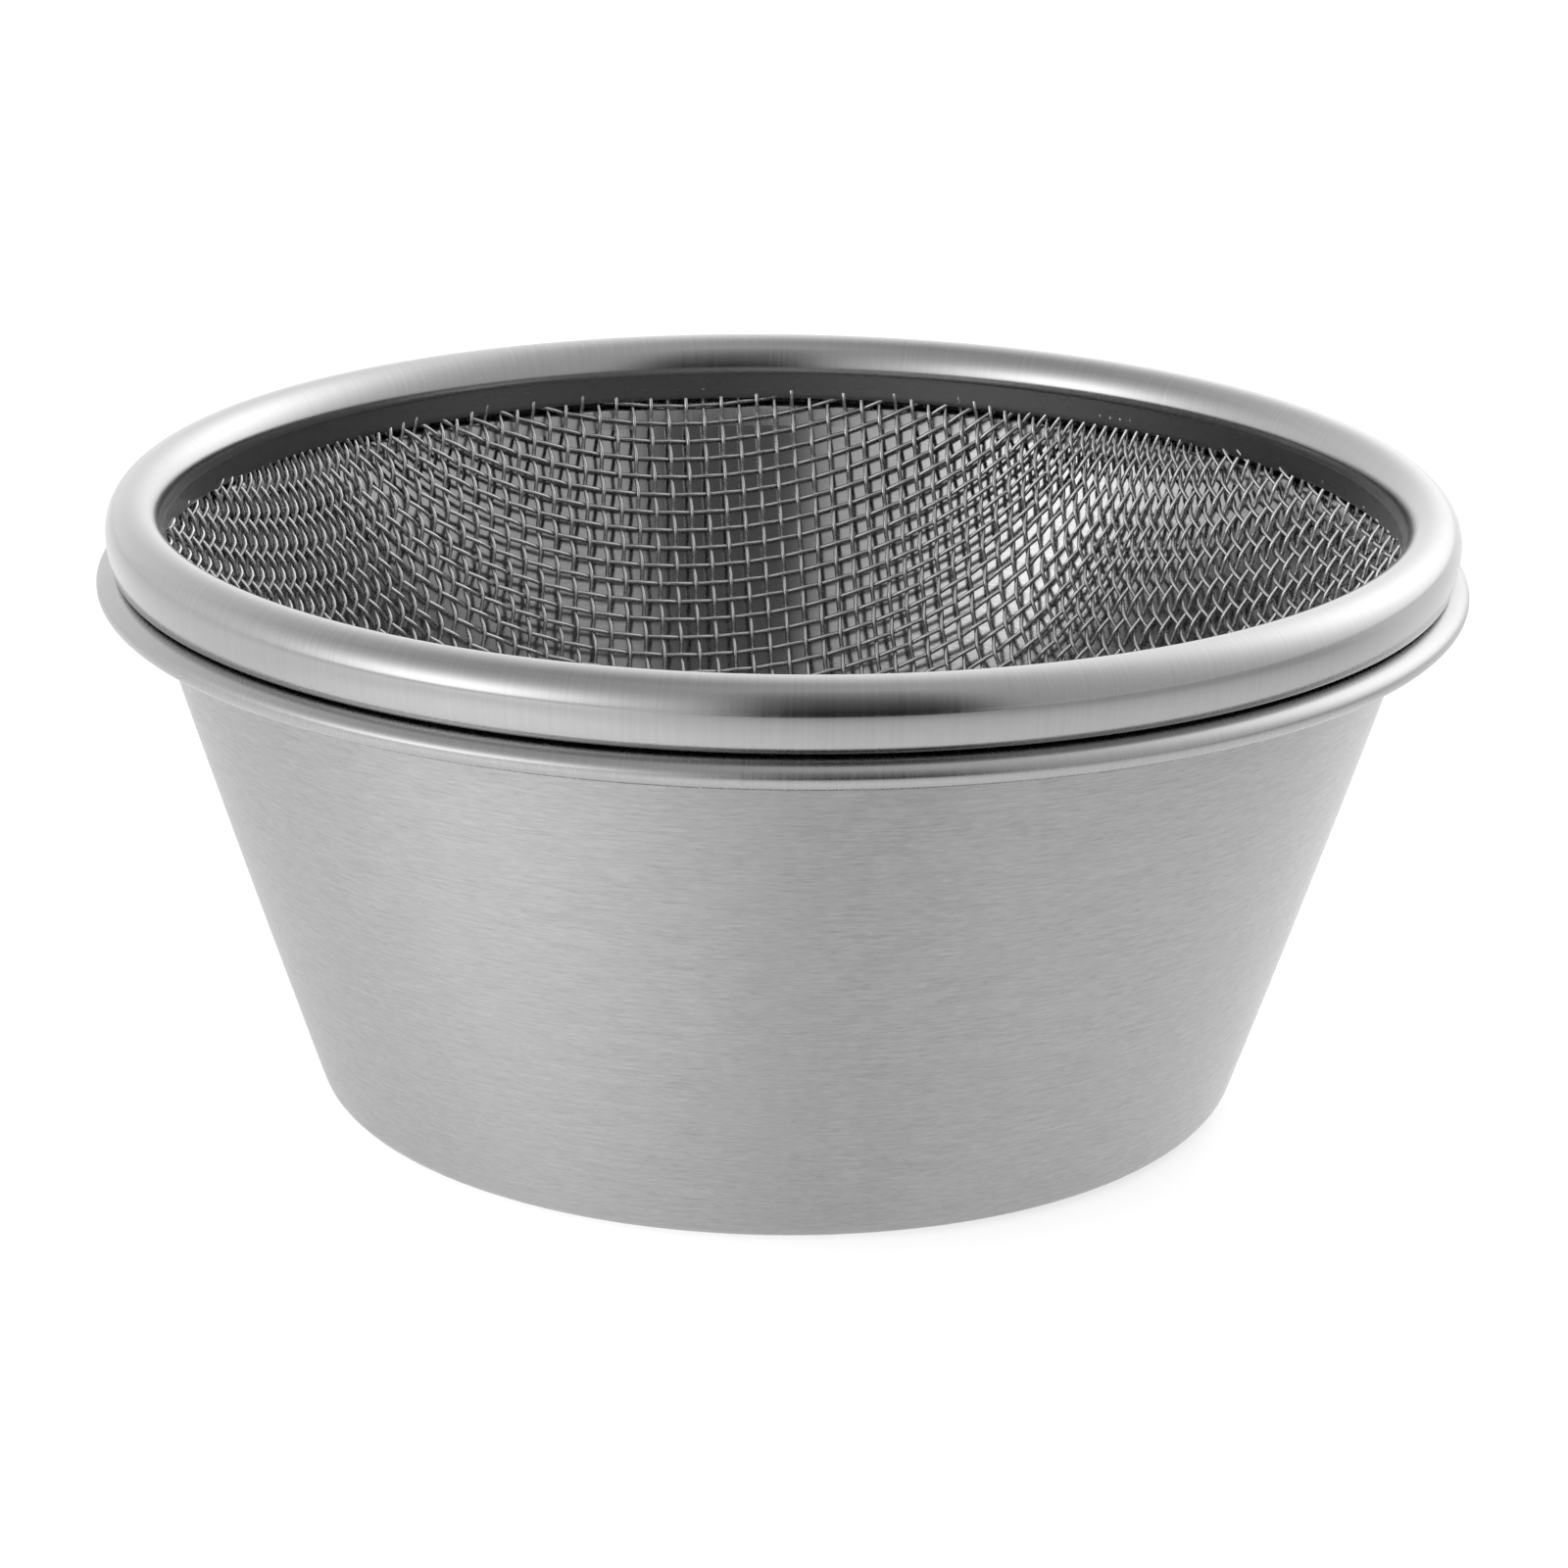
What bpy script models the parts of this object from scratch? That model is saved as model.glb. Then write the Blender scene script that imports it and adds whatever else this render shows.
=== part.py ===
"""A wire mesh strainer standing in a pressed steel bowl.

Metres, +Z up. The origin is the centre of the bowl's underside, on the surface that the
bowl stands on. Every piece is turned about the Z axis. The bowl is one sheet with an open
rolled lip. The strainer is a curled sheet rim, a thin collar strip inside it and a drawn
cup of wire cloth whose edge is held between the two. It lifts straight up out of the bowl.
"""
import math

import bpy
from mathutils import Vector

MM = 0.001
SEGMENTS = 64
SHARP_ANGLE = math.radians(40)

# The bowl. Its path is the middle of the sheet.
BOWL_SHEET = 0.7 * MM
BASE_RADIUS = 50.4 * MM
BASE_FILLET = 3.5 * MM
WALL_CROWN = 0.2 * MM
LIP_RADIUS = 72.05 * MM
LIP_HEIGHT = 58.9 * MM
LIP_HALF_WIDTH = 2.7 * MM
LIP_HALF_HEIGHT = 1.45 * MM
LIP_START = math.radians(168)
LIP_END = math.radians(-40)

# The strainer's curled rim. It runs from its inner free edge over the top and down a
# flatter outer side, then back under the curl and down along the cloth. Between that
# last flange and the free edge is the slot that the collar and the cloth come out of.
RIM_SHEET = 0.5 * MM
RIM_RADIUS = 70.85 * MM
RIM_HALF_WIDTH = 2.9 * MM
RIM_TOP = 68.05 * MM
RIM_INNER_HEIGHT = 64.3 * MM
RIM_HEIGHT = 64.7 * MM
RIM_SIDE_CURVE = 9.0 * MM
RIM_SIDE_TURN = math.radians(18)
RIM_SIDE_RUN = 0.55 * MM
RIM_CORNER = 0.4 * MM
RIM_CLAMP_RADIUS = 70.2 * MM
RIM_KNEE_HEIGHT = 61.1 * MM
RIM_KNEE = 0.3 * MM
RIM_BOTTOM = 60.8 * MM

# The collar strip inside the rim.
COLLAR_SHEET = 0.35 * MM
COLLAR_RADIUS = 68.73 * MM
COLLAR_BOTTOM = 61.0 * MM
COLLAR_TOP = 64.9 * MM

# The wire cloth cup. The cloth is a plain shell as thick as one wire.
CLOTH_THICKNESS = 0.4 * MM
CLOTH_EDGE_RADIUS = 69.4 * MM
CLOTH_TOP = 65.8 * MM
NECK_HEIGHT = 61.3 * MM
NECK_FILLET = 4.0 * MM
CUP_FLOOR = 16.0 * MM
CUP_CORNER_RADIUS = 49.7 * MM
CUP_FILLET = 30.0 * MM

STEEL = {
    "brushed_bowl_steel": ((0.60, 0.60, 0.60, 1.0), 0.36),
    "polished_rim_steel": ((0.70, 0.70, 0.70, 1.0), 0.20),
    "dark_collar_steel": ((0.42, 0.42, 0.43, 1.0), 0.32),
    "steel_wire_cloth": ((0.55, 0.55, 0.55, 1.0), 0.30),
}


def clear_scene():
    for obj in list(bpy.data.objects):
        bpy.data.objects.remove(obj, do_unlink=True)


def steel(name):
    """A steel material with its own tone and roughness."""
    colour, roughness = STEEL[name]
    material = bpy.data.materials.new(name)
    material.use_nodes = True
    shader = material.node_tree.nodes["Principled BSDF"]
    shader.inputs["Base Color"].default_value = colour
    shader.inputs["Metallic"].default_value = 1.0
    shader.inputs["Roughness"].default_value = roughness
    material.diffuse_color = colour
    return material


def point(radius, height):
    return Vector((radius, height))


def oval_arc(centre, half_width, half_height, start, end, count):
    """Points along an oval from one angle to another, both included."""
    angles = [start + (end - start) * i / count for i in range(count + 1)]
    return [
        centre + point(half_width * math.cos(a), half_height * math.sin(a))
        for a in angles
    ]


def fillet(before, corner, after, radius, count):
    """The arc that rounds the corner between two straight runs."""
    back = (before - corner).normalized()
    ahead = (after - corner).normalized()
    half = back.angle(ahead) / 2
    centre = corner + (back + ahead).normalized() * (radius / math.sin(half))
    first = corner + back * (radius / math.tan(half)) - centre
    last = corner + ahead * (radius / math.tan(half)) - centre
    turn = first.angle_signed(last)
    spokes = []
    for i in range(count + 1):
        # angle_signed is clockwise, and a 2D rotation is anticlockwise
        angle = -turn * i / count
        cos_a, sin_a = math.cos(angle), math.sin(angle)
        spokes.append(
            point(first.x * cos_a - first.y * sin_a, first.x * sin_a + first.y * cos_a)
        )
    return [centre + spoke for spoke in spokes]


def sheet_section(path, thickness):
    """The outline of a sheet whose middle follows the path, from its left side back to
    its right side. Seen with the radius to the right, left is the inside of a bowl."""
    left, right = [], []
    for i, here in enumerate(path):
        runs = []
        if i > 0:
            runs.append((here - path[i - 1]).normalized())
        if i < len(path) - 1:
            runs.append((path[i + 1] - here).normalized())
        along = sum(runs, point(0, 0)).normalized()
        side = point(-along.y, along.x)
        reach = thickness / 2 / max(along.dot(runs[0]), 0.5)
        left.append(here + side * reach)
        right.append(here - side * reach)
    return left + right[::-1]


def turned(name, section, closed, material, collection, parent=None):
    """An object turned from its section by a Screw modifier, with its origin on its
    parent's, and smooth apart from the cut edges of its sheet."""
    base = parent.location.z if parent else 0.0
    mesh = bpy.data.meshes.new(name + "_profile")
    count = len(section)
    edges = [(i, i + 1) for i in range(count - 1)]
    if closed:
        edges.append((count - 1, 0))
    mesh.from_pydata([(p.x, 0.0, p.y - base) for p in section], edges, [])
    profile = bpy.data.objects.new(name + "_profile", mesh)
    collection.objects.link(profile)
    screw = profile.modifiers.new("turn", "SCREW")
    screw.angle = math.tau
    screw.steps = SEGMENTS
    screw.render_steps = SEGMENTS
    screw.use_merge_vertices = True
    screw.merge_threshold = 0.00001
    screw.use_smooth_shade = True
    bpy.context.view_layer.update()
    depsgraph = bpy.context.evaluated_depsgraph_get()
    solid = bpy.data.meshes.new_from_object(profile.evaluated_get(depsgraph))
    solid.name = name
    bpy.data.objects.remove(profile, do_unlink=True)
    solid.shade_smooth()
    solid.set_sharp_from_angle(angle=SHARP_ANGLE)
    solid.materials.append(material)
    obj = bpy.data.objects.new(name, solid)
    collection.objects.link(obj)
    if parent:
        obj.parent = parent
    return obj


def crowned(first, last, crown, count):
    """The points between two ends, on a run that bulges to its right by the crown."""
    along = (last - first).normalized()
    side = point(along.y, -along.x)
    shares = [i / (count + 1) for i in range(1, count + 1)]
    return [first.lerp(last, t) + side * (4 * crown * t * (1 - t)) for t in shares]


def bowl_path():
    """From the middle of the floor, round the base and up the wall, over the lip."""
    centre = point(0.0, BOWL_SHEET / 2)
    corner = point(BASE_RADIUS, BOWL_SHEET / 2)
    lip = oval_arc(
        point(LIP_RADIUS, LIP_HEIGHT),
        LIP_HALF_WIDTH,
        LIP_HALF_HEIGHT,
        LIP_START,
        LIP_END,
        11,
    )
    base = fillet(centre, corner, lip[0], BASE_FILLET, 4)
    return [centre] + base + crowned(base[-1], lip[0], WALL_CROWN, 5) + lip


def rim_path():
    """From the inner free edge over the top, down the outer side and back under."""
    inner = oval_arc(
        point(RIM_RADIUS, RIM_INNER_HEIGHT),
        RIM_HALF_WIDTH,
        RIM_TOP - RIM_INNER_HEIGHT,
        math.pi,
        math.pi / 2,
        7,
    )
    outer = oval_arc(
        point(RIM_RADIUS, RIM_HEIGHT),
        RIM_HALF_WIDTH,
        RIM_TOP - RIM_HEIGHT,
        math.pi / 2,
        0.0,
        7,
    )
    side = oval_arc(
        point(RIM_RADIUS + RIM_HALF_WIDTH - RIM_SIDE_CURVE, RIM_HEIGHT),
        RIM_SIDE_CURVE,
        RIM_SIDE_CURVE,
        0.0,
        -RIM_SIDE_TURN,
        3,
    )
    inward = point(-math.sin(RIM_SIDE_TURN), -math.cos(RIM_SIDE_TURN))
    corner = side[-1] + inward * RIM_SIDE_RUN
    knee = point(RIM_CLAMP_RADIUS, RIM_KNEE_HEIGHT)
    bottom = point(RIM_CLAMP_RADIUS, RIM_BOTTOM)
    return (
        inner
        + outer[1:]
        + side[1:]
        + fillet(side[-1], corner, knee, RIM_CORNER, 3)
        + fillet(corner, knee, bottom, RIM_KNEE, 3)
        + [bottom]
    )


def collar_path():
    return [point(COLLAR_RADIUS, COLLAR_BOTTOM), point(COLLAR_RADIUS, COLLAR_TOP)]


def cup_path():
    """From the middle of the cup's floor, up its wall and straight up into the rim."""
    centre = point(0.0, CUP_FLOOR)
    corner = point(CUP_CORNER_RADIUS, CUP_FLOOR)
    neck = point(CLOTH_EDGE_RADIUS, NECK_HEIGHT)
    edge = point(CLOTH_EDGE_RADIUS, CLOTH_TOP)
    return (
        [centre]
        + fillet(centre, corner, neck, CUP_FILLET, 10)
        + fillet(corner, neck, edge, NECK_FILLET, 2)
        + [edge]
    )


def main():
    clear_scene()
    parts = bpy.data.collections.new("strainer_in_bowl")
    bpy.context.scene.collection.children.link(parts)

    lift = bpy.data.objects.new("strainer_lift", None)
    lift.location = (0.0, 0.0, RIM_HEIGHT)
    lift.empty_display_size = 20 * MM
    parts.objects.link(lift)

    turned(
        "bowl",
        sheet_section(bowl_path(), BOWL_SHEET),
        False,
        steel("brushed_bowl_steel"),
        parts,
    )
    turned(
        "strainer_rim",
        sheet_section(rim_path(), RIM_SHEET),
        True,
        steel("polished_rim_steel"),
        parts,
        lift,
    )
    turned(
        "mesh_collar",
        sheet_section(collar_path(), COLLAR_SHEET),
        True,
        steel("dark_collar_steel"),
        parts,
        lift,
    )
    turned(
        "mesh_cup",
        sheet_section(cup_path(), CLOTH_THICKNESS),
        False,
        steel("steel_wire_cloth"),
        parts,
        lift,
    )


main()
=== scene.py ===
"""The looks of the wire mesh strainer and its bowl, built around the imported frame.

The bowl, the rim and the collar are turned again with finer sections. The cup is woven
from real wires: the cloth is draped over the cup as a net of equal cells, as drawn wire
cloth stretches, and every wire is crimped over and under those that cross it.
"""
import math

import bpy
import numpy as np
from mathutils import Matrix, Vector


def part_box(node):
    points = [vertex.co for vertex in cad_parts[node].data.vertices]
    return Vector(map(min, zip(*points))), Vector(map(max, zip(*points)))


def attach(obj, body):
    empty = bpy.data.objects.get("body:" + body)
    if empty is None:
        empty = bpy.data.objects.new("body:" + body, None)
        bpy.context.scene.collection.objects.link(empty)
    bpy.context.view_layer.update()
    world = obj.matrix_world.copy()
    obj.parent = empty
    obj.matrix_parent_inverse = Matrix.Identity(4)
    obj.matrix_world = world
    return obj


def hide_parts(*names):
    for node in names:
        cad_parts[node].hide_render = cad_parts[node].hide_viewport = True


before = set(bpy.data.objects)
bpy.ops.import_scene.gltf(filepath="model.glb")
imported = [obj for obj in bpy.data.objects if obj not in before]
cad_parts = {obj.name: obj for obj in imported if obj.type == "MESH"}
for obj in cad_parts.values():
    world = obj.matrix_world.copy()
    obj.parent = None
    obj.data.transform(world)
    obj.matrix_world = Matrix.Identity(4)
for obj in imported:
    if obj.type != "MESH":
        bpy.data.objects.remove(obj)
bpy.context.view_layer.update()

MM = 0.001

# Places that come from the frame.
BOWL_LOW, BOWL_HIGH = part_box("bowl")
RIM_LOW, RIM_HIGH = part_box("strainer_rim")
COLLAR_LOW, COLLAR_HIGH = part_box("mesh_collar")
CUP_LOW, CUP_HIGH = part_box("mesh_cup")

# The design's sizes that no box holds, the same as in the part's source.
BOWL_SHEET = 0.7 * MM
BASE_RADIUS = 50.4 * MM
BASE_FILLET = 3.5 * MM
WALL_CROWN = 0.2 * MM
LIP_HALF_WIDTH = 2.7 * MM
LIP_HALF_HEIGHT = 1.45 * MM
LIP_DEPTH = 3.3 * MM
LIP_START = math.radians(168)
LIP_END = math.radians(-40)
RIM_SHEET = 0.5 * MM
RIM_HALF_WIDTH = 2.9 * MM
RIM_INNER_HEIGHT = 64.3 * MM
RIM_HEIGHT = 64.7 * MM
RIM_SIDE_CURVE = 9.0 * MM
RIM_SIDE_TURN = math.radians(18)
RIM_SIDE_RUN = 0.82 * MM
RIM_CORNER = 0.4 * MM
RIM_CLAMP_RADIUS = 70.2 * MM
RIM_KNEE_HEIGHT = 61.1 * MM
RIM_KNEE = 0.3 * MM
COLLAR_SHEET = 0.35 * MM
NECK_HEIGHT = 61.3 * MM
NECK_FILLET = 4.0 * MM
CLOTH_SHELL = 0.4 * MM
CUP_CORNER_RADIUS = 49.7 * MM
CUP_FILLET = 30.0 * MM

# The wire cloth. The warp bends more than the weft, and together they swing by a wire.
# The cloth stands a little inside the middle of its shell, clear of the bowl's lip.
MESH_PITCH = 2.19 * MM
WIRE_RADIUS = 0.265 * MM
WARP_SWING = 1.38 * WIRE_RADIUS
WEFT_SWING = 0.65 * WIRE_RADIUS
CLOTH_INSET = 0.17 * MM
WIRE_SIDES = 6
CRIMP_STEPS = 3

# How the net lies on the cup: its turn about the axis, and its slide in shares of a cell.
WEAVE_TURN = math.radians(100)
WEAVE_SHIFT = (0.5, 0.12)

# How the net is worked out. The cup runs on past its edge, so that the net can be cut
# there, and a crossing that misses its neighbours' pitch by more than a share is left out.
PAST_EDGE = 14 * MM
CUP_STEP = 0.25 * MM
NEWTON_STEPS = 30
LARGEST_TURN_STEP = 0.2
LARGEST_MISS = 0.02
ALMOST_NOTHING = 1e-7
SMALLEST_DETERMINANT = 1e-14

# The brushing of the sheet. A streak has its stated length at the streak radius. The marks
# over a rolled edge are counted per radian of azimuth and per metre of height.
FINE_STREAK_LENGTH = 1.5 * MM
FINE_STREAK_WIDTH = 0.24 * MM
LONG_STREAK_LENGTH = 6.0 * MM
LONG_STREAK_WIDTH = 0.5 * MM
FINE_STREAK_SHARE = 0.65
STREAK_RADIUS = 60 * MM
ROLL_MARKS_ROUND = 200.0
ROLL_MARKS_UP = 90.0
BUMP_HEIGHT = 0.02 * MM

# How finely the turned pieces are cut, round the axis and along their sections.
TURN_STEPS = 288
RUN_STEP = 2.0 * MM
COLLAR_STEP = 0.5 * MM

# The order of the bowl's materials.
OUTSIDE, INSIDE, LIP = range(3)


# ---------------------------------------------------------------- sections

def oval_arc(centre, half_width, half_height, start, end, count):
    """Points along an oval from one angle to another, both included."""
    angles = np.linspace(start, end, count + 1)
    return np.array(centre) + np.stack(
        [half_width * np.cos(angles), half_height * np.sin(angles)], axis=1
    )


def unit(vector):
    return vector / np.linalg.norm(vector)


def fillet(before, corner, after, radius, count):
    """The arc that rounds the corner between two straight runs."""
    before, corner, after = map(np.asarray, (before, corner, after))
    back, ahead = unit(before - corner), unit(after - corner)
    half = math.acos(np.clip(back @ ahead, -1, 1)) / 2
    centre = corner + unit(back + ahead) * radius / math.sin(half)
    first = corner + back * radius / math.tan(half) - centre
    last = corner + ahead * radius / math.tan(half) - centre
    start = math.atan2(first[1], first[0])
    turn = math.atan2(last[1], last[0]) - start
    turn = (turn + math.pi) % math.tau - math.pi
    return oval_arc(centre, radius, radius, start, start + turn, count)


def with_steps(path, step):
    """The path with its long runs cut into steps, so that smooth shading stays true."""
    points = [path[0]]
    for here, there in zip(path[:-1], path[1:]):
        pieces = max(1, math.ceil(np.linalg.norm(there - here) / step))
        points += [here + (there - here) * k / pieces for k in range(1, pieces + 1)]
    return np.array(points)


def path_sides(path):
    """The unit vector to the left of the path at each of its points."""
    runs = np.diff(path, axis=0)
    runs /= np.linalg.norm(runs, axis=1)[:, None]
    along = np.vstack([runs[:1], runs[:-1] + runs[1:], runs[-1:]])
    along /= np.linalg.norm(along, axis=1)[:, None]
    return np.stack([-along[:, 1], along[:, 0]], axis=1)


def sheet_outline(path, thickness, round_start, round_end, count=5):
    """The outline of a sheet whose middle follows the path, with rounded cut edges."""
    sides = path_sides(path)
    left = path + sides * thickness / 2
    right = path - sides * thickness / 2
    outline = [left]
    if round_end:
        outline.append(half_turn(path[-1], left[-1], count))
    outline.append(right[::-1])
    if round_start:
        outline.append(half_turn(path[0], right[0], count))
    return np.vstack(outline)


def half_turn(centre, start, count):
    """The points of a clockwise half circle about the centre, without its ends."""
    spoke = start - centre
    angles = -np.linspace(0, math.pi, count + 2)[1:-1]
    return np.array(
        [
            centre
            + [
                spoke[0] * math.cos(a) - spoke[1] * math.sin(a),
                spoke[0] * math.sin(a) + spoke[1] * math.cos(a),
            ]
            for a in angles
        ]
    )


def bowl_path():
    lip_radius = BOWL_HIGH.x - BOWL_SHEET / 2 - LIP_HALF_WIDTH
    lip_height = BOWL_HIGH.z - BOWL_SHEET / 2 - LIP_HALF_HEIGHT
    floor = BOWL_LOW.z + BOWL_SHEET / 2
    lip = oval_arc(
        (lip_radius, lip_height), LIP_HALF_WIDTH, LIP_HALF_HEIGHT, LIP_START, LIP_END, 28
    )
    centre, corner = np.array([0.0, floor]), np.array([BASE_RADIUS, floor])
    base = fillet(centre, corner, lip[0], BASE_FILLET, 14)
    wall = with_steps(np.stack([base[-1], lip[0]]), RUN_STEP)
    share = np.linspace(0, 1, len(wall))
    along = unit(lip[0] - base[-1])
    bulge = 4 * WALL_CROWN * share * (1 - share)
    wall += bulge[:, None] * np.array([along[1], -along[0]])
    floor_run = with_steps(np.stack([centre, base[0]]), RUN_STEP)
    return np.vstack([floor_run, base[1:], wall[1:], lip[1:]])


def rim_path():
    """From the inner free edge over the top and down a flatter outer side, then in
    under the curl and down along the cloth, which it presses against the collar."""
    radius = RIM_HIGH.x - RIM_SHEET / 2 - RIM_HALF_WIDTH
    top = RIM_HIGH.z - RIM_SHEET / 2
    right_angle = math.pi / 2
    inner = oval_arc(
        (radius, RIM_INNER_HEIGHT), RIM_HALF_WIDTH, top - RIM_INNER_HEIGHT,
        math.pi, right_angle, 20,
    )
    outer = oval_arc(
        (radius, RIM_HEIGHT), RIM_HALF_WIDTH, top - RIM_HEIGHT, right_angle, 0, 20
    )
    centre = (radius + RIM_HALF_WIDTH - RIM_SIDE_CURVE, RIM_HEIGHT)
    side = oval_arc(centre, RIM_SIDE_CURVE, RIM_SIDE_CURVE, 0, -RIM_SIDE_TURN, 10)
    inward = np.array([-math.sin(RIM_SIDE_TURN), -math.cos(RIM_SIDE_TURN)])
    corner = side[-1] + inward * RIM_SIDE_RUN
    knee = np.array([RIM_CLAMP_RADIUS, RIM_KNEE_HEIGHT])
    bottom = np.array([RIM_CLAMP_RADIUS, RIM_LOW.z])
    turn = fillet(side[-1], corner, knee, RIM_CORNER, 8)
    bend = fillet(corner, knee, bottom, RIM_KNEE, 6)
    return np.vstack([inner, outer[1:], side[1:], turn, bend, bottom])


def collar_path():
    radius = COLLAR_HIGH.x - COLLAR_SHEET / 2
    return with_steps(
        np.array([[radius, COLLAR_LOW.z], [radius, COLLAR_HIGH.z]]), COLLAR_STEP
    )


def cup_path():
    """The middle of the cloth, from the floor's centre up into the rim and past its edge."""
    floor = CUP_LOW.z + CLOTH_SHELL / 2
    edge_radius = CUP_HIGH.x - CLOTH_SHELL / 2
    centre, corner = np.array([0.0, floor]), np.array([CUP_CORNER_RADIUS, floor])
    neck = np.array([edge_radius, NECK_HEIGHT])
    edge = np.array([edge_radius, CUP_HIGH.z + PAST_EDGE])
    return np.vstack(
        [
            centre,
            fillet(centre, corner, neck, CUP_FILLET, 60),
            fillet(corner, neck, edge, NECK_FILLET, 12),
            edge,
        ]
    )


# ---------------------------------------------------------------- meshes

def new_object(name, points, faces, smooth=True):
    mesh = bpy.data.meshes.new(name)
    mesh.from_pydata([tuple(p) for p in points], [], faces)
    mesh.validate()
    if smooth:
        mesh.shade_smooth()
    obj = bpy.data.objects.new(name, mesh)
    bpy.context.scene.collection.objects.link(obj)
    return obj


def turned(name, outline, closed):
    """Turns an outline about Z. Where it isn't closed, it starts and ends on the axis."""
    angles = np.linspace(0, math.tau, TURN_STEPS, endpoint=False)
    rings = outline if closed else outline[1:-1]
    count = len(rings)
    points = np.empty((TURN_STEPS, count, 3))
    points[:, :, 0] = np.cos(angles)[:, None] * rings[:, 0]
    points[:, :, 1] = np.sin(angles)[:, None] * rings[:, 0]
    points[:, :, 2] = rings[:, 1]
    points = points.reshape(-1, 3)
    faces = []
    last = count if closed else count - 1
    for a in range(TURN_STEPS):
        here, there = a * count, (a + 1) % TURN_STEPS * count
        for k in range(last):
            n = (k + 1) % count
            faces.append((here + k, here + n, there + n, there + k))
    if not closed:
        top, bottom = len(points), len(points) + 1
        points = np.vstack([points, [0, 0, outline[0, 1]], [0, 0, outline[-1, 1]]])
        for a in range(TURN_STEPS):
            here, there = a * count, (a + 1) % TURN_STEPS * count
            faces.append((top, here, there))
            faces.append((bottom, there + count - 1, here + count - 1))
    return new_object(name, points, faces)


# ---------------------------------------------------------------- wire cloth

class Cup:
    """The cloth's middle surface, by the distance run from its centre and the azimuth."""

    def __init__(self):
        path = with_steps(cup_path(), CUP_STEP)
        steps = np.linalg.norm(np.diff(path, axis=0), axis=1)
        self.run = np.concatenate([[0], np.cumsum(steps)])
        self.path = path
        self.slope = np.gradient(path, self.run, axis=0)
        self.flat_run = self.run[np.argmax(path[:, 1] > path[0, 1] + ALMOST_NOTHING)]

    def section(self, run):
        """The radius and height at a run, and how they change with it."""
        radius = np.interp(run, self.run, self.path[:, 0])
        height = np.interp(run, self.run, self.path[:, 1])
        d_radius = np.interp(run, self.run, self.slope[:, 0])
        d_height = np.interp(run, self.run, self.slope[:, 1])
        return radius, height, d_radius, d_height

    def place(self, run, azimuth):
        """A point, and how it moves with the run and with the azimuth."""
        radius, height, d_radius, d_height = self.section(run)
        c, s = np.cos(azimuth), np.sin(azimuth)
        here = np.stack([radius * c, radius * s, height], axis=-1)
        by_run = np.stack([d_radius * c, d_radius * s, d_height], axis=-1)
        by_turn = np.stack([-radius * s, radius * c, 0 * height], axis=-1)
        return here, by_run, by_turn

    def normals(self, points):
        """The unit normals into the cup at points on it."""
        flat = np.hypot(points[:, 0], points[:, 1])
        on_wall = points[:, 2] > self.path[0, 1] + ALMOST_NOTHING
        # interp needs heights that rise, and the floor's are all the same
        heights = self.path[1:, 1] + 1e-9 * self.run[1:]
        run = np.where(on_wall, np.interp(points[:, 2], heights, self.run[1:]), flat)
        _, _, d_radius, d_height = self.section(run)
        out = points[:, :2] / np.maximum(flat, 1e-9)[:, None]
        return np.stack([-d_height * out[:, 0], -d_height * out[:, 1], d_radius], axis=1)


def drape_quarter(cup, count, pitch):
    """The crossings of one quarter of the net. A crossing lies one pitch from both of its
    inner neighbours. Rows follow the run and the azimuth, and a crossing past the cup's
    end or with no place to lie is left out."""
    spots = np.full((count, count, 2), np.nan)
    spots[0, 0] = (0.0, math.pi / 4)
    for k in range(1, count):
        if k * pitch < cup.run[-1]:
            spots[k, 0] = (k * pitch, 0.0)
            spots[0, k] = (k * pitch, math.pi / 2)
    for total in range(2, 2 * count - 1):
        i = np.arange(max(1, total - count + 1), min(count - 1, total - 1) + 1)
        j = total - i
        a, b, c = spots[i - 1, j], spots[i, j - 1], spots[i - 1, j - 1]
        good = ~(np.isnan(a).any(1) | np.isnan(b).any(1) | np.isnan(c).any(1))
        if not good.any():
            break
        i, j, a, b, c = i[good], j[good], a[good], b[good], c[good]
        spots[i, j] = meet(cup, a, b, c, pitch)
    return spots


def meet(cup, a, b, c, pitch):
    """Newton steps to the spots one pitch from spots a and b, away from spots c."""
    point_a, point_b = cup.place(*a.T)[0], cup.place(*b.T)[0]
    point_c = cup.place(*c.T)[0]
    guess = point_a + point_b - point_c
    azimuth = np.arctan2(guess[:, 1], guess[:, 0])
    run = np.maximum(a[:, 0] + b[:, 0] - c[:, 0], 0)
    run = np.where(run < cup.flat_run, np.hypot(guess[:, 0], guess[:, 1]), run)
    for _ in range(NEWTON_STEPS):
        here, by_run, by_turn = cup.place(run, azimuth)
        to_a, to_b = here - point_a, here - point_b
        miss_a = (to_a ** 2).sum(1) - pitch ** 2
        miss_b = (to_b ** 2).sum(1) - pitch ** 2
        a_run, a_turn = 2 * (to_a * by_run).sum(1), 2 * (to_a * by_turn).sum(1)
        b_run, b_turn = 2 * (to_b * by_run).sum(1), 2 * (to_b * by_turn).sum(1)
        det = a_run * b_turn - a_turn * b_run
        det = np.where(np.abs(det) < SMALLEST_DETERMINANT, SMALLEST_DETERMINANT, det)
        step_run = (miss_a * b_turn - miss_b * a_turn) / det
        step_turn = (a_run * miss_b - b_run * miss_a) / det
        run = run - np.clip(step_run, -pitch / 2, pitch / 2)
        azimuth = azimuth - np.clip(step_turn, -LARGEST_TURN_STEP, LARGEST_TURN_STEP)
    here = cup.place(run, azimuth)[0]
    off = np.abs(np.linalg.norm(here - point_a, axis=1) - pitch)
    off += np.abs(np.linalg.norm(here - point_b, axis=1) - pitch)
    lost = (off > LARGEST_MISS * pitch) | (run > cup.run[-1]) | (run < 0)
    return np.where(lost[:, None], np.nan, np.stack([run, azimuth], axis=1))


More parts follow.
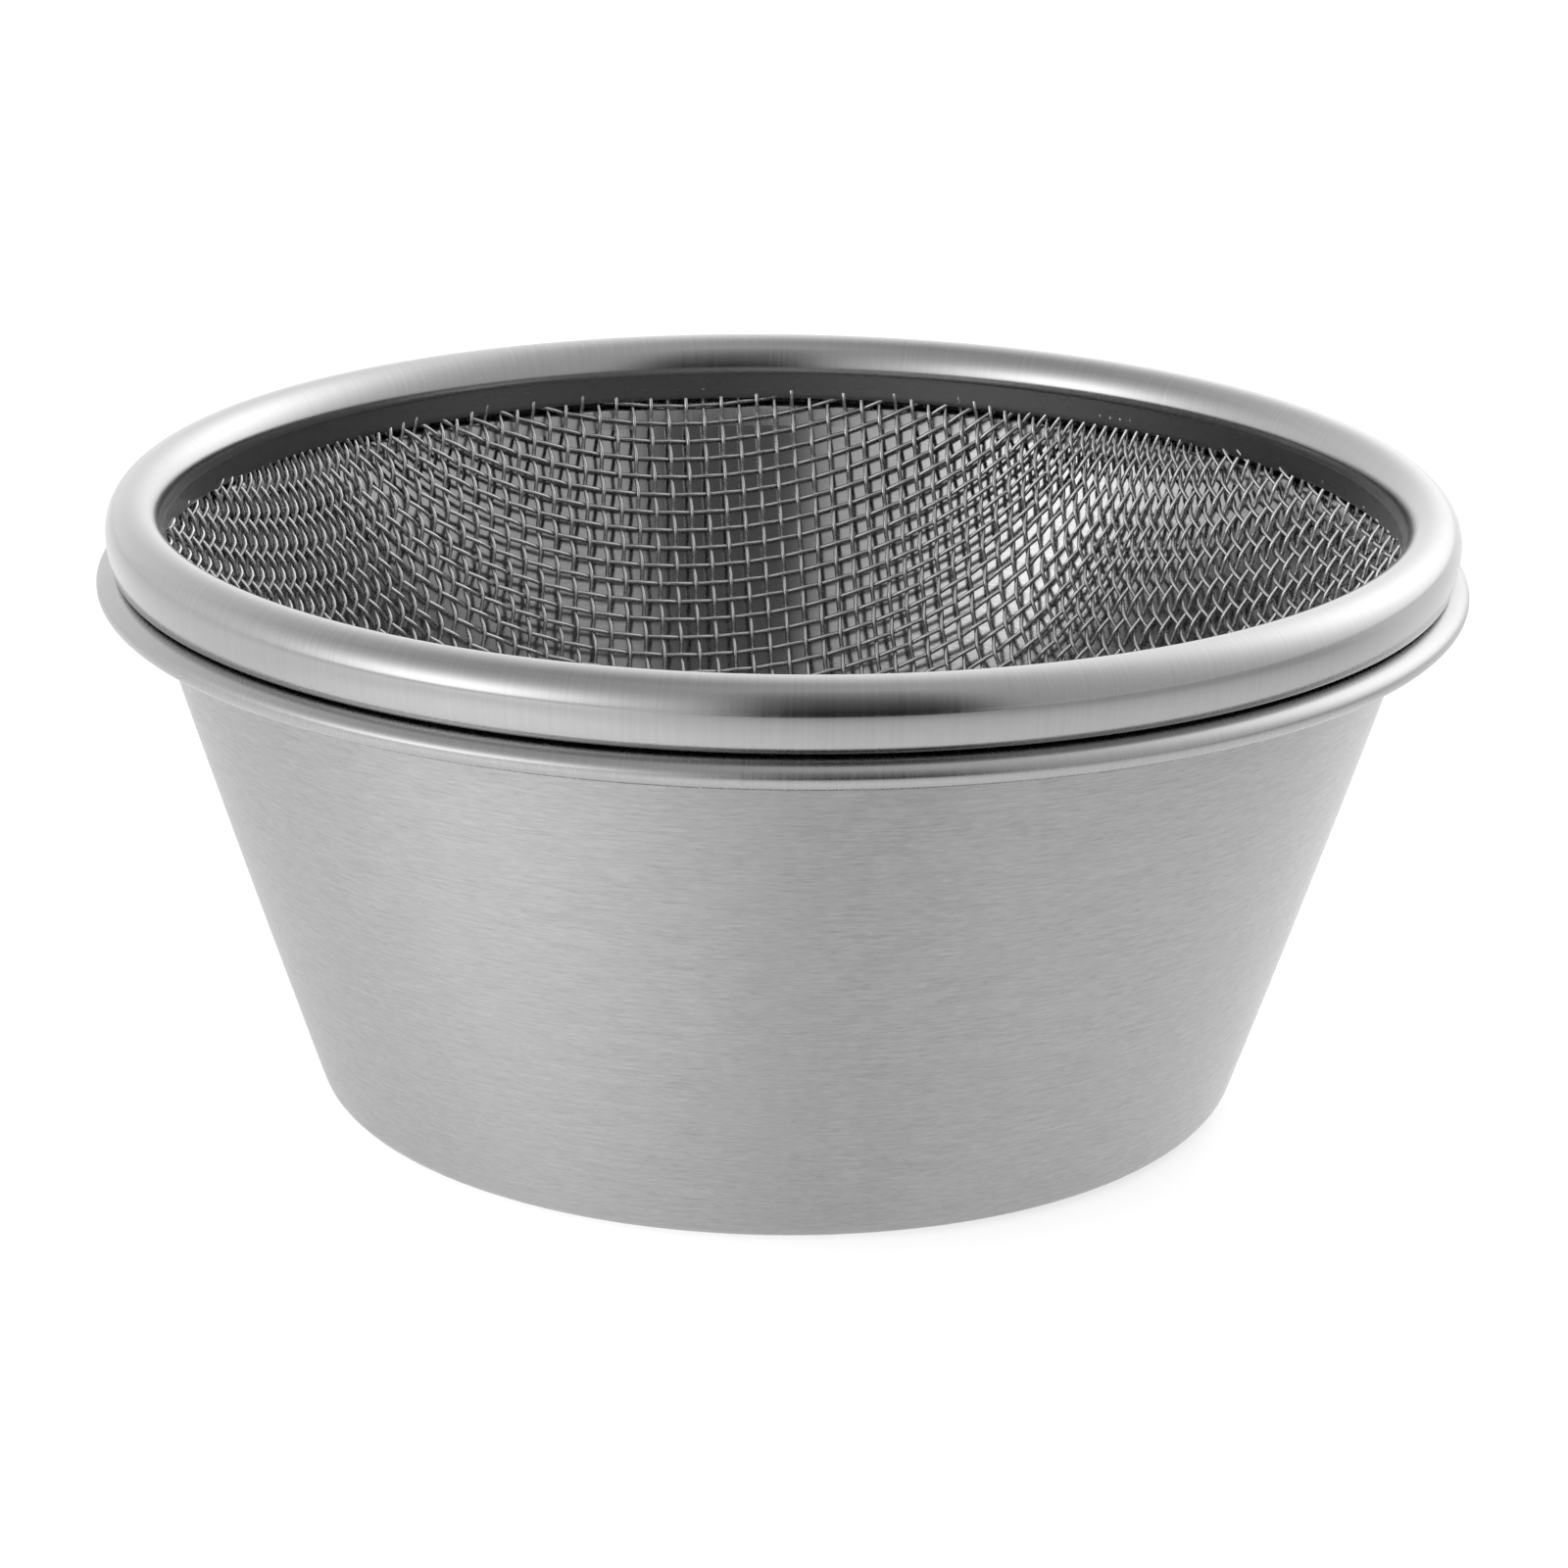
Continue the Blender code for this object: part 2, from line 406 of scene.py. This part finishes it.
def drape(cup, pitch):
    """All crossings of the cloth, as points, with not-a-number past its edge."""
    count = int(cup.run[-1] / pitch) + 2
    quarter = drape_quarter(cup, count, pitch)
    known = ~np.isnan(quarter[..., 0])
    place = np.full((count, count, 3), np.nan)
    place[known] = cup.place(quarter[known, 0], quarter[known, 1])[0]
    size = 2 * count - 1
    net = np.full((size, size, 3), np.nan)
    mid = count - 1
    for flip_x in (1, -1):
        for flip_y in (1, -1):
            rows = mid + flip_x * np.arange(count)
            columns = mid + flip_y * np.arange(count)
            net[np.ix_(rows, columns)] = place * (flip_x, flip_y, 1)
    return net


def shifted(net, shift):
    """The crossings of the same cloth, slid by shares of a cell along both families."""
    for axis, share in enumerate(shift):
        net = net + share * (np.roll(net, -1, axis) - net)
    return net[:-1, :-1]


def wire_runs(line):
    """Where the unbroken runs of crossings on one wire start and end."""
    good = ~np.isnan(line[:, 0])
    runs, start = [], None
    for k, ok in enumerate(good):
        if ok and start is None:
            start = k
        if start is not None and (not ok or k == len(good) - 1):
            end = k + 1 if ok else k
            runs.append((start, end))
            start = None
    return [r for r in runs if r[1] - r[0] >= 3]


def crimped(cup, line, first_up, swing):
    """A wire's middle line, swung over and under the wires it crosses, and the normals
    there."""
    steps = np.arange(0, (len(line) - 1) * CRIMP_STEPS + 1) / CRIMP_STEPS
    index = np.arange(len(line))
    centre = np.stack([np.interp(steps, index, line[:, k]) for k in range(3)], axis=1)
    at_crossings = cup.normals(line)
    normals = np.stack(
        [np.interp(steps, index, at_crossings[:, k]) for k in range(3)], axis=1
    )
    normals /= np.linalg.norm(normals, axis=1)[:, None]
    wave = np.cos(math.pi * steps) * (1 if first_up else -1)
    return centre + normals * (wave * swing + CLOTH_INSET)[:, None], normals


def tube(points, normals, radius, sides, start):
    """A closed tube along the points. Its faces count from the start index."""
    along = np.gradient(points, axis=0)
    along /= np.linalg.norm(along, axis=1)[:, None]
    across = np.cross(along, normals)
    across /= np.linalg.norm(across, axis=1)[:, None]
    up = np.cross(across, along)
    turn = np.arange(sides) * math.tau / sides
    ring = (
        points[:, None]
        + radius * np.cos(turn)[None, :, None] * across[:, None]
        + radius * np.sin(turn)[None, :, None] * up[:, None]
    )
    count = len(points)
    base = start + np.arange(count - 1)[:, None] * sides
    k = np.arange(sides)[None, :]
    n = (k + 1) % sides
    quads = np.stack([base + k, base + sides + k, base + sides + n, base + n], axis=-1)
    faces = [tuple(q) for q in quads.reshape(-1, 4).tolist()]
    faces.append(tuple(range(start, start + sides)))
    last = start + (count - 1) * sides
    faces.append(tuple(range(last + sides - 1, last - 1, -1)))
    return ring.reshape(-1, 3), faces


def woven(name, cup, net, wires, along_rows):
    """One object of the wires with these indices, all warp or all weft."""
    points, faces, start = [], [], 0
    swing = WARP_SWING if along_rows else WEFT_SWING
    for w in wires:
        line = net[:, w] if along_rows else net[w]
        for first, last in wire_runs(line):
            up = (first + w) % 2 == 0
            middle, normals = crimped(cup, line[first:last], up == along_rows, swing)
            ring, quads = tube(middle, normals, WIRE_RADIUS, WIRE_SIDES, start)
            points.append(ring)
            faces += quads
            start += len(ring)
    points = np.vstack(points)
    c, s = math.cos(WEAVE_TURN), math.sin(WEAVE_TURN)
    points = points @ np.array([[c, s, 0], [-s, c, 0], [0, 0, 1]])
    return new_object(name, points, faces)


# ---------------------------------------------------------------- materials

class Nodes:
    """Short calls for building a material's node tree."""

    def __init__(self, name):
        self.material = bpy.data.materials.new(name)
        self.material.use_nodes = True
        self.tree = self.material.node_tree
        self.shader = self.tree.nodes["Principled BSDF"]

    def add(self, kind, **values):
        node = self.tree.nodes.new(kind)
        for key, value in values.items():
            setattr(node, key, value)
        return node

    def put(self, socket, value):
        if isinstance(value, bpy.types.NodeSocket):
            self.tree.links.new(value, socket)
        else:
            socket.default_value = value

    def math(self, operation, *values):
        node = self.add("ShaderNodeMath", operation=operation)
        for socket, value in zip(node.inputs, values):
            self.put(socket, value)
        return node.outputs[0]

    def combine(self, x, y, z):
        node = self.add("ShaderNodeCombineXYZ")
        for socket, value in zip(node.inputs, (x, y, z)):
            self.put(socket, value)
        return node.outputs[0]

    def noise(self, vector, scale, detail=2.0, roughness=0.5):
        node = self.add("ShaderNodeTexNoise")
        self.put(node.inputs["Vector"], vector)
        node.inputs["Scale"].default_value = scale
        node.inputs["Detail"].default_value = detail
        node.inputs["Roughness"].default_value = roughness
        return node.outputs["Fac"]

    def spread(self, value, low, high, out_low, out_high):
        """Spreads a value between low and high over the two output values."""
        node = self.add("ShaderNodeMapRange")
        for socket, number in zip(node.inputs, (value, low, high, out_low, out_high)):
            self.put(socket, number)
        return node.outputs[0]

    def vary(self, noise, out_low, out_high):
        """Spreads a noise, which lies mostly between 0.3 and 0.7, over two values."""
        return self.spread(noise, 0.3, 0.7, out_low, out_high)

    def smooth(self, value, low, high):
        """Rises smoothly from 0 to 1 between the two values."""
        node = self.add("ShaderNodeMapRange", interpolation_type="SMOOTHSTEP")
        for socket, number in zip(node.inputs, (value, low, high, 0.0, 1.0)):
            self.put(socket, number)
        return node.outputs[0]

    def turned_coordinates(self):
        """The azimuth's cosine and sine, the radius and the height."""
        place = self.add("ShaderNodeTexCoord").outputs["Object"]
        split = self.add("ShaderNodeSeparateXYZ")
        self.put(split.inputs[0], place)
        x, y, z = split.outputs
        radius = self.math(
            "SQRT",
            self.math("ADD", self.math("MULTIPLY", x, x), self.math("MULTIPLY", y, y)),
        )
        safe = self.math("MAXIMUM", radius, 1e-5)
        cos_a, sin_a = self.math("DIVIDE", x, safe), self.math("DIVIDE", y, safe)
        return cos_a, sin_a, radius, z

    def tone(self, grey, share):
        """The grey colour, made lighter or darker by the share."""
        value = self.math("MULTIPLY", grey, share)
        return self.combine(value, value, value)

    def make_metal(self, anisotropy, rotation):
        """Bare metal whose reflection is drawn out round the axis, or along the section
        where the rotation is a quarter."""
        self.shader.inputs["Metallic"].default_value = 1.0
        self.shader.inputs["Anisotropic"].default_value = anisotropy
        self.shader.inputs["Anisotropic Rotation"].default_value = rotation
        tangent = self.add("ShaderNodeTangent", direction_type="RADIAL", axis="Z")
        self.put(self.shader.inputs["Tangent"], tangent.outputs[0])

    def raise_marks(self, height, strength):
        """Lifts the surface by the marks."""
        bump = self.add("ShaderNodeBump")
        bump.inputs["Strength"].default_value = strength
        bump.inputs["Distance"].default_value = BUMP_HEIGHT
        self.put(bump.inputs["Height"], height)
        self.put(self.shader.inputs["Normal"], bump.outputs[0])


def brushed_steel(name, grey, roughness, anisotropy, depth, bump=0.12):
    """Steel sheet brushed along its turning: fine streaks round the axis, mixed with
    longer and fainter ones, and a reflection that is drawn out across them."""
    n = Nodes(name)
    cos_a, sin_a, radius, height = n.turned_coordinates()
    run = n.math("ADD", radius, height)

    def streaks(length, width, detail):
        per_length, per_width = STREAK_RADIUS / length, 1.0 / width
        vector = n.combine(
            n.math("MULTIPLY", cos_a, per_length),
            n.math("MULTIPLY", sin_a, per_length),
            n.math("MULTIPLY", run, per_width),
        )
        return n.noise(vector, 1.0, detail, roughness=0.7)

    fine = streaks(FINE_STREAK_LENGTH, FINE_STREAK_WIDTH, 3.0)
    long = streaks(LONG_STREAK_LENGTH, LONG_STREAK_WIDTH, 2.0)
    both = n.math(
        "ADD",
        n.math("MULTIPLY", fine, FINE_STREAK_SHARE),
        n.math("MULTIPLY", long, 1 - FINE_STREAK_SHARE),
    )
    share = n.vary(both, 1 - depth, 1 + depth)
    n.put(n.shader.inputs["Base Color"], n.tone(grey, share))
    n.put(n.shader.inputs["Roughness"], n.vary(both, roughness + 0.05, roughness - 0.05))
    n.make_metal(anisotropy, rotation=0.25)
    n.raise_marks(both, bump)
    return n.material


def polished_steel(name, grey, roughness):
    """A rolled edge, polished across the roll, with faint marks that run over it."""
    n = Nodes(name)
    cos_a, sin_a, _, height = n.turned_coordinates()
    place = n.combine(
        n.math("MULTIPLY", cos_a, ROLL_MARKS_ROUND),
        n.math("MULTIPLY", sin_a, ROLL_MARKS_ROUND),
        n.math("MULTIPLY", height, ROLL_MARKS_UP),
    )
    marks = n.noise(place, 1.0, detail=3.0, roughness=0.6)
    broad = n.noise(n.combine(cos_a, sin_a, 0.0), 3.0)
    share = n.vary(marks, 0.96, 1.04)
    n.put(n.shader.inputs["Base Color"], n.tone(grey, share))
    rough = n.math(
        "ADD",
        n.vary(marks, roughness - 0.03, roughness + 0.03),
        n.vary(broad, -0.02, 0.02),
    )
    n.put(n.shader.inputs["Roughness"], rough)
    n.make_metal(anisotropy=0.6, rotation=0.0)
    n.raise_marks(marks, 0.08)
    return n.material


def drawn_wire(name, grey, roughness):
    """Bright drawn wire, a little duller where it was handled."""
    n = Nodes(name)
    place = n.add("ShaderNodeTexCoord").outputs["Object"]
    patches = n.noise(place, 60.0)
    grain = n.noise(place, 3000.0)
    share = n.math(
        "ADD",
        n.vary(patches, 0.95, 1.05),
        n.vary(grain, -0.05, 0.05),
    )
    n.put(n.shader.inputs["Base Color"], n.tone(grey, share))
    n.put(n.shader.inputs["Roughness"], n.vary(grain, roughness - 0.05, roughness + 0.05))
    n.shader.inputs["Metallic"].default_value = 1.0
    return n.material


# ---------------------------------------------------------------- the pieces

def make_bowl():
    bowl = turned("bowl_shell", sheet_outline(bowl_path(), BOWL_SHEET, False, True), False)
    for material in (
        brushed_steel(
            "brushed_steel", grey=0.415, roughness=0.44, anisotropy=0.86, depth=0.14, bump=0.2
        ),
        brushed_steel(
            "inner_steel", grey=0.375, roughness=0.15, anisotropy=0.5, depth=0.06, bump=0.1
        ),
        polished_steel("lip_steel", grey=0.38, roughness=0.27),
    ):
        bowl.data.materials.append(material)
    paint_bowl(bowl.data)
    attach(bowl, "bowl")
    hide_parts("bowl")


def paint_bowl(mesh):
    """The lip is polished. Faces that look inward or up are the inside, which is finer
    brushed than the outside."""
    count = len(mesh.polygons)
    centres, normals = np.empty(3 * count), np.empty(3 * count)
    mesh.polygons.foreach_get("center", centres)
    mesh.polygons.foreach_get("normal", normals)
    centres, normals = centres.reshape(-1, 3), normals.reshape(-1, 3)
    flat = np.hypot(centres[:, 0], centres[:, 1])
    outward = (centres[:, :2] * normals[:, :2]).sum(1) / np.maximum(flat, 1e-9)
    index = np.where((outward < 0) | (normals[:, 2] > 0.5), INSIDE, OUTSIDE)
    index = np.where(centres[:, 2] > BOWL_HIGH.z - LIP_DEPTH, LIP, index)
    mesh.polygons.foreach_set("material_index", index.astype(np.int32))


def make_rim():
    rim = turned("rolled_rim", sheet_outline(rim_path(), RIM_SHEET, True, True), True)
    rim.data.materials.append(polished_steel("polished_steel", grey=0.38, roughness=0.17))
    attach(rim, "strainer")
    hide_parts("strainer_rim")


def make_collar():
    collar = turned(
        "collar_strip", sheet_outline(collar_path(), COLLAR_SHEET, True, True), True
    )
    # The collar's grey is much darker than the other steel's: painted shade for the band
    # under the rim. Its roughness and brushing are its own.
    collar.data.materials.append(
        brushed_steel("collar_steel", grey=0.21, roughness=0.3, anisotropy=0.3, depth=0.04)
    )
    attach(collar, "strainer")
    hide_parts("mesh_collar")


def make_cloth():
    cup = Cup()
    net = shifted(drape(cup, MESH_PITCH), WEAVE_SHIFT)
    net[net[..., 2] > CUP_HIGH.z - WIRE_RADIUS] = np.nan
    size = len(net)
    halves = {"low": range(size // 2), "high": range(size // 2, size)}
    steel = drawn_wire("drawn_wire", grey=0.50, roughness=0.25)
    for half, wires in halves.items():
        for family, along_rows in (("warp", True), ("weft", False)):
            piece = woven(f"{family}_wires_{half}", cup, net, wires, along_rows)
            piece.data.materials.append(steel)
            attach(piece, "strainer")
            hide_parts("mesh_cup")


# ---------------------------------------------------------------- the studio

CAMERA_AIM = Vector((0.0, 0.0, 29.6 * MM))
CAMERA_DISTANCE = 592.0 * MM
CAMERA_ELEVATION = math.radians(18.67)
CAMERA_TILT = math.radians(0.386)
CAMERA_PAN = math.radians(0.04)
CAMERA_ROLL = math.radians(0.76)
CAMERA_LENS = 121.44
CAMERA_SENSOR = 36.0
CAMERA_NEAREST = 0.01

FLOOR_HALF = 4.0
FLOOR_TONE = 0.65
FLOOR_ROUGHNESS = 0.9
FLOOR_GLOW = 0.31
# The near-black of the sheets that only the steel mirrors: painted dark reflections.
DARK_REFLECTION_TONE = 0.02

# A dark sheet before the camera that only the steel mirrors, as a painted dark reflection. It
# thins out to both sides and to its top.
CARD_PLACE = -0.45
CARD_LEFT = -0.11
CARD_RIGHT = 0.34
CARD_LEFT_FADE = 0.11
CARD_RIGHT_FADE = 0.15
CARD_HEIGHT = 1.2
CARD_THINNING = 1.2
CARD_COVER = 1.08

# A dark sheet on the floor, from corner to corner, that only the steel mirrors: painted shade
# in the floor's reflection. Its sector goes by how squarely a spot lies at the object's front
# right, where
# 1.41 is square on: it starts at the first value and is full at the second. Its cover grows
#                    with the distance from the axis.
FLOOR_SHADE_LOW = (-0.6, -1.2)
FLOOR_SHADE_HIGH = (1.6, 0.6)
FLOOR_SHADE_HEIGHT = 1 * MM
FLOOR_SHADE_SECTOR = (0.45, 1.15)
FLOOR_SHADE_REACH = (0.11, 0.30)
FLOOR_SHADE_COVER = 0.45

# Square lamps over the floor: name, place, aim, size and radiance.
LAMPS = (
    ("floor_wash", (-0.1, 0.45, 0.9), (-0.1, 0.3, 0), 0.9, 0.75),
    ("right_wash", (0.35, 0.75, 0.5), (0.2, 0.4, 0), 0.3, 4),
)

# Pools of light on the floor: name, place, aim, cone in degrees and watts.
SPOTS = (
    ("base_spot", (-0.40, -0.36, 0.35), (-0.062, -0.078, 0), 22, 12),
    ("left_spot", (-0.50, -0.70, 0.50), (-0.33, -0.31, 0), 46, 13),
    ("front_spot", (0.35, -0.50, 0.50), (0.08, -0.10, 0), 45, 4),
)
SPOT_RADIUS = 0.04

# The room's light: its base level, how that changes towards +X, what a bright wall behind
# the object adds, and the level that the camera itself sees.
SKY_LEVEL = 0.67
SKY_TOWARDS_X = -0.12
SKY_BACK = 0.42
SKY_BACK_POWER = 1.5
SKY_SEEN = 1.0

# Soft lights in the room, and one soft shade: azimuth, elevation, half width and half
# height in degrees, and what each adds at its middle.
SKY_PATCHES = (
    (-55, 8, 25, 20, 2.2),
    (130, 27, 36, 33, 2.0),
    (-110, 12, 30, 25, 0.25),
    (-110, 72, 30, 30, -0.22),
)


def make_camera():
    """A long lens, a little above the rim."""
    ahead = Vector((0, math.cos(CAMERA_ELEVATION), -math.sin(CAMERA_ELEVATION)))
    up = Vector((0, math.sin(CAMERA_ELEVATION), math.cos(CAMERA_ELEVATION)))
    right = Vector((1, 0, 0))
    place = CAMERA_AIM - ahead * CAMERA_DISTANCE
    ahead, right = turn_pair(ahead, right, CAMERA_PAN)
    ahead, up = turn_pair(ahead, up, CAMERA_TILT)
    right, up = turn_pair(right, up, CAMERA_ROLL)
    camera = bpy.data.objects.new("camera", bpy.data.cameras.new("camera"))
    camera.data.lens = CAMERA_LENS
    camera.data.sensor_width = CAMERA_SENSOR
    camera.data.clip_start = CAMERA_NEAREST
    turn = Matrix((right, up, -ahead)).transposed().to_4x4()
    camera.matrix_world = Matrix.Translation(place) @ turn
    bpy.context.scene.collection.objects.link(camera)
    bpy.context.scene.camera = camera


def turn_pair(first, second, angle):
    """Two unit vectors, turned in their own plane from the first towards the second."""
    return (
        first * math.cos(angle) + second * math.sin(angle),
        second * math.cos(angle) - first * math.sin(angle),
    )


def hang(name, data, place, aim):
    """Puts a lamp up. The steel doesn't mirror it."""
    lamp = bpy.data.objects.new(name, data)
    lamp.location = place
    lamp.rotation_euler = (Vector(place) - Vector(aim)).to_track_quat("Z", "Y").to_euler()
    lamp.visible_glossy = False
    bpy.context.scene.collection.objects.link(lamp)


def square_lamp(name, place, aim, size, radiance):
    """A square lamp over the floor."""
    data = bpy.data.lights.new(name, "AREA")
    data.size = size
    data.energy = radiance * math.pi * size * size
    hang(name, data, place, aim)


def spot(name, place, aim, cone, power):
    """A soft-edged pool of light on the floor, without the object's shadow."""
    data = bpy.data.lights.new(name, "SPOT")
    data.energy = power
    data.spot_size = math.radians(cone)
    data.spot_blend = 1.0
    data.shadow_soft_size = SPOT_RADIUS
    data.use_shadow = False
    hang(name, data, place, aim)


def matt(name, tone):
    """The nodes of a grey material that mirrors nothing."""
    n = Nodes(name)
    n.shader.inputs["Base Color"].default_value = (tone, tone, tone, 1)
    n.shader.inputs["Specular IOR Level"].default_value = 0.0
    return n


def level_sheet(name, low, high, height):
    """A level sheet between two corners."""
    points = [
        (low[0], low[1], height),
        (high[0], low[1], height),
        (high[0], high[1], height),
        (low[0], high[1], height),
    ]
    return new_object(name, points, [(0, 1, 2, 3)], smooth=False)


def stage_for_mirrors(sheet):
    """Keeps a sheet out of the camera's view, diffuse light and shadows, so that only the
    steel mirrors it.
    """
    sheet.visible_camera = False
    sheet.visible_diffuse = False
    sheet.visible_shadow = False


def graduated_cloth():
    """Painted dark reflection: a near-black sheet that thins out to its top and its sides."""
    n = matt("graduated_cloth", DARK_REFLECTION_TONE)
    split = n.add("ShaderNodeSeparateXYZ")
    n.put(split.inputs[0], n.add("ShaderNodeTexCoord").outputs["Object"])
    x, _, z = split.outputs
    left = n.smooth(x, CARD_LEFT, CARD_LEFT + CARD_LEFT_FADE)
    right = n.smooth(x, CARD_RIGHT, CARD_RIGHT - CARD_RIGHT_FADE)
    upward = n.math("POWER", n.spread(z, 0.0, CARD_HEIGHT, 1.0, 0.0), CARD_THINNING)
    cover = n.math("MULTIPLY", n.math("MULTIPLY", left, right), upward)
    thick = n.math("MULTIPLY", cover, CARD_COVER)
    n.put(n.shader.inputs["Alpha"], n.math("MINIMUM", thick, 1.0))
    return n.material


def dark_card():
    """The dark opening that the camera looks out of, as a painted dark reflection that only
    the steel sees.
    """
    points = [
        (CARD_LEFT, CARD_PLACE, 0),
        (CARD_RIGHT, CARD_PLACE, 0),
        (CARD_RIGHT, CARD_PLACE, CARD_HEIGHT),
        (CARD_LEFT, CARD_PLACE, CARD_HEIGHT),
    ]
    card = new_object("dark_card", points, [(0, 1, 2, 3)], smooth=False)
    card.data.materials.append(graduated_cloth())
    stage_for_mirrors(card)


def floor_cloth():
    """Painted shade in the floor's reflection: near-black in a soft sector at the front
    right, thicker away from the axis.
    """
    n = matt("floor_cloth", DARK_REFLECTION_TONE)
    split = n.add("ShaderNodeSeparateXYZ")
    n.put(split.inputs[0], n.add("ShaderNodeTexCoord").outputs["Object"])
    x, y, _ = split.outputs
    away = n.math(
        "SQRT", n.math("ADD", n.math("MULTIPLY", x, x), n.math("MULTIPLY", y, y))
    )
    towards = n.math("DIVIDE", n.math("SUBTRACT", x, y), n.math("MAXIMUM", away, MM))
    sector = n.smooth(towards, *FLOOR_SHADE_SECTOR)
    far = n.spread(away, *FLOOR_SHADE_REACH, 0.0, FLOOR_SHADE_COVER)
    n.put(n.shader.inputs["Alpha"], n.math("MULTIPLY", sector, far))
    return n.material


def dark_floor():
    """A dark sheet before the object, seen only in the steel: painted shade in the floor's
    reflection.
    """
    # Painted shade: this sheet darkens only what the steel mirrors of the floor.
    cloth = level_sheet("dark_floor", FLOOR_SHADE_LOW, FLOOR_SHADE_HIGH, FLOOR_SHADE_HEIGHT)
    cloth.data.materials.append(floor_cloth())
    stage_for_mirrors(cloth)


def pale_floor():
    floor = level_sheet("floor", (-FLOOR_HALF, -FLOOR_HALF), (FLOOR_HALF, FLOOR_HALF), 0)
    paper = matt("pale_floor", FLOOR_TONE)
    paper.shader.inputs["Roughness"].default_value = FLOOR_ROUGHNESS
    paper.shader.inputs["Emission Color"].default_value = (1, 1, 1, 1)
    paper.shader.inputs["Emission Strength"].default_value = FLOOR_GLOW
    floor.data.materials.append(paper.material)


def facing(azimuth, elevation):
    """The unit vector away from the object. The azimuth is from the camera's side, to
    the right, in degrees."""
    azimuth, elevation = math.radians(azimuth), math.radians(elevation)
    return Vector(
        (
            math.sin(azimuth) * math.cos(elevation),
            -math.cos(azimuth) * math.cos(elevation),
            math.sin(elevation),
        )
    )


class Sky:
    """The room's light by direction: a level, and soft patches on it."""

    def __init__(self):
        world = bpy.data.worlds.new("studio")
        world.use_nodes = True
        self.tree = world.node_tree
        self.background = self.tree.nodes["Background"]
        self.background.inputs["Color"].default_value = (1, 1, 1, 1)
        place = self.tree.nodes.new("ShaderNodeTexCoord")
        self.direction = place.outputs["Generated"]
        bpy.context.scene.world = world

    def number(self, operation, *values):
        node = self.tree.nodes.new("ShaderNodeMath")
        node.operation = operation
        for socket, value in zip(node.inputs, values):
            if isinstance(value, bpy.types.NodeSocket):
                self.tree.links.new(value, socket)
            else:
                socket.default_value = value
        return node.outputs[0]

    def along(self, vector):
        """The share of the direction that lies along a vector."""
        node = self.tree.nodes.new("ShaderNodeVectorMath")
        node.operation = "DOT_PRODUCT"
        self.tree.links.new(self.direction, node.inputs[0])
        node.inputs[1].default_value = vector
        return node.outputs["Value"]

    def patch(self, azimuth, elevation, half_width, half_height, peak):
        """A soft light that fades out over its half width and height, in degrees."""
        away, side = facing(azimuth, elevation), facing(azimuth + 90, 0)
        up = side.cross(away)
        across = self.number("DIVIDE", self.along(side), math.sin(math.radians(half_width)))
        upward = self.number("DIVIDE", self.along(up), math.sin(math.radians(half_height)))
        off = self.number(
            "ADD", self.number("POWER", across, 2.0), self.number("POWER", upward, 2.0)
        )
        glow = self.number("EXPONENT", self.number("MULTIPLY", off, -1.0))
        facing_it = self.number("GREATER_THAN", self.along(away), 0.0)
        return self.number("MULTIPLY", self.number("MULTIPLY", glow, facing_it), peak)

    def light(self, level, seen):
        """Sets the light's level, and the level that the camera itself sees."""
        path = self.tree.nodes.new("ShaderNodeLightPath")
        direct = self.number("MULTIPLY", path.outputs["Is Camera Ray"], seen)
        rest = self.number("SUBTRACT", 1.0, path.outputs["Is Camera Ray"])
        total = self.number("ADD", direct, self.number("MULTIPLY", rest, level))
        self.tree.links.new(total, self.background.inputs["Strength"])


def make_sky():
    """A white room to the camera. The steel sees a bright back, soft lights and a shade."""
    sky = Sky()
    level = sky.number("MULTIPLY_ADD", sky.along((1, 0, 0)), SKY_TOWARDS_X, SKY_LEVEL)
    back = sky.number("MAXIMUM", sky.along((0, 1, 0)), 0.0)
    back = sky.number("POWER", back, SKY_BACK_POWER)
    level = sky.number("ADD", level, sky.number("MULTIPLY", back, SKY_BACK))
    for patch in SKY_PATCHES:
        level = sky.number("ADD", level, sky.patch(*patch))
    sky.light(level, SKY_SEEN)


def make_studio():
    pale_floor()
    make_sky()
    dark_card()
    dark_floor()
    for settings in LAMPS:
        square_lamp(*settings)
    for settings in SPOTS:
        spot(*settings)
    bpy.context.scene.view_settings.view_transform = "Standard"


make_camera()
make_bowl()
make_rim()
make_collar()
make_cloth()
make_studio()
